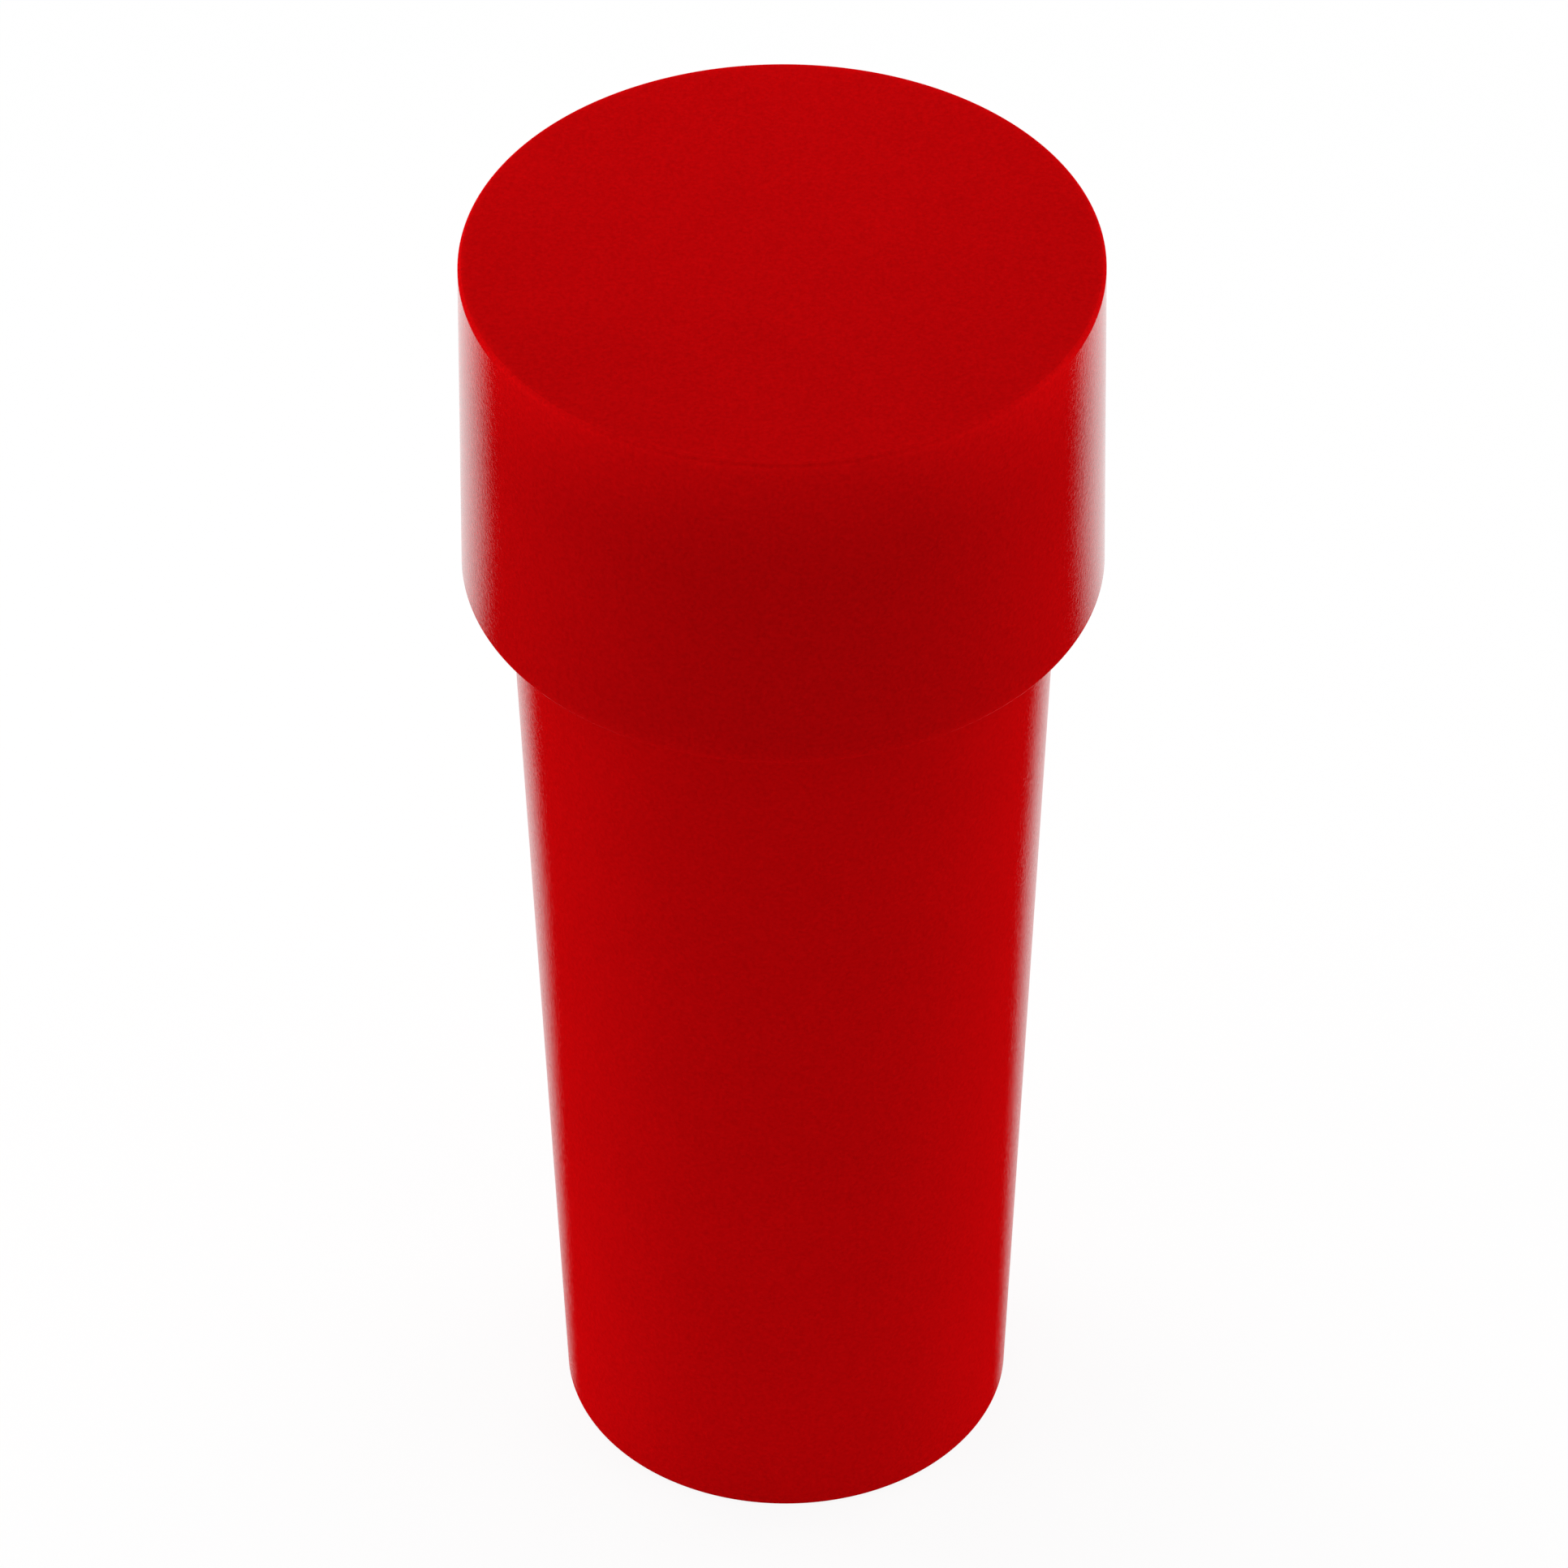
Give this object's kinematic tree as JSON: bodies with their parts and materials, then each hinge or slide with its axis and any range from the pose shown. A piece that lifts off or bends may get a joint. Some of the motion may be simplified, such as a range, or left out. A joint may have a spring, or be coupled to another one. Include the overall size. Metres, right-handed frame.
{
  "type": "post driver",
  "caption": "Hand post driver: a round struck head on a tapered grip, with a steel-lined socket and anvil that go over the top end of a fence post.",
  "frame": {"origin": "centre of the socket's mouth, on the flat ring that the driver stands on", "axes": "+Z along the driver's axis, from the mouth of the socket up to the struck face"},
  "size_m": [0.0516, 0.0516, 0.119],
  "materials": {
    "head_plastic": "moulded satin gloss red",
    "shank_plastic": "moulded satin gloss red",
    "liner_steel": "drawn tube, bright plated",
    "anvil_steel": "turned"
  },
  "bodies": {
    "root": {"driving_head": "head_plastic", "shank_sleeve": "shank_plastic", "socket_liner": "liner_steel", "steel_anvil": "anvil_steel"}
  },
  "joints": []
}
